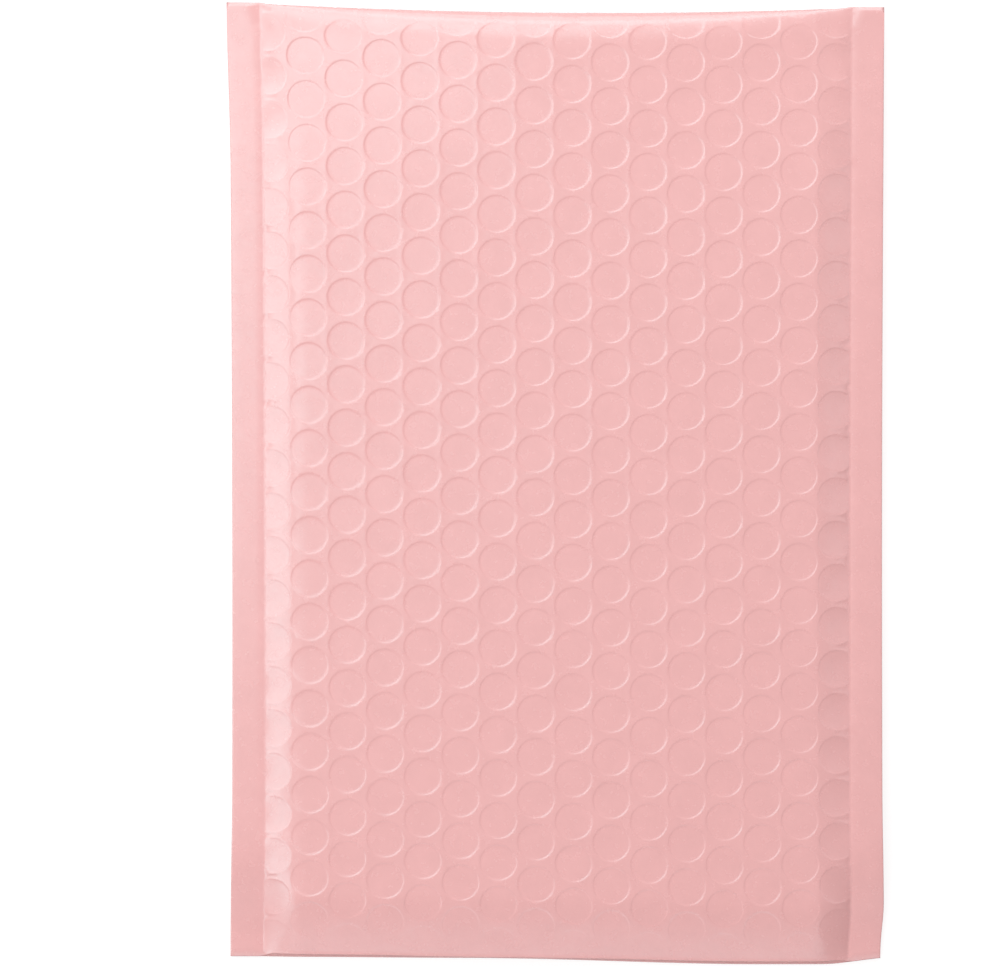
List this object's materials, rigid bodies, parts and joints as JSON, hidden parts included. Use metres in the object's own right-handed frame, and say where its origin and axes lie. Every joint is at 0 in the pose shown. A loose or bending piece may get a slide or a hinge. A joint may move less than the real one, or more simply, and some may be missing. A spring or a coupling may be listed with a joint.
{
  "type": "padded envelope",
  "caption": "Flat padded mailing envelope of soft poly film lined with air bubbles, welded along both sides, its flap with adhesive strip and release liner turned under the back.",
  "frame": {"origin": "middle of the bottom of the bounding box, on the surface that the envelope lies on", "axes": "+Z out of the front panel, +Y towards the folded end, -Y towards the mouth and the turned-under flap, X across the envelope"},
  "size_m": [0.1694, 0.249, 0.0075],
  "materials": {
    "pink_film": "satin pink poly film",
    "adhesive": "clear hot-melt adhesive, slightly milky",
    "liner": "smooth white siliconised film"
  },
  "bodies": {
    "root": {"bubble_lined_bag": "pink_film", "adhesive_strip": "adhesive", "release_liner": "liner"}
  },
  "joints": []
}
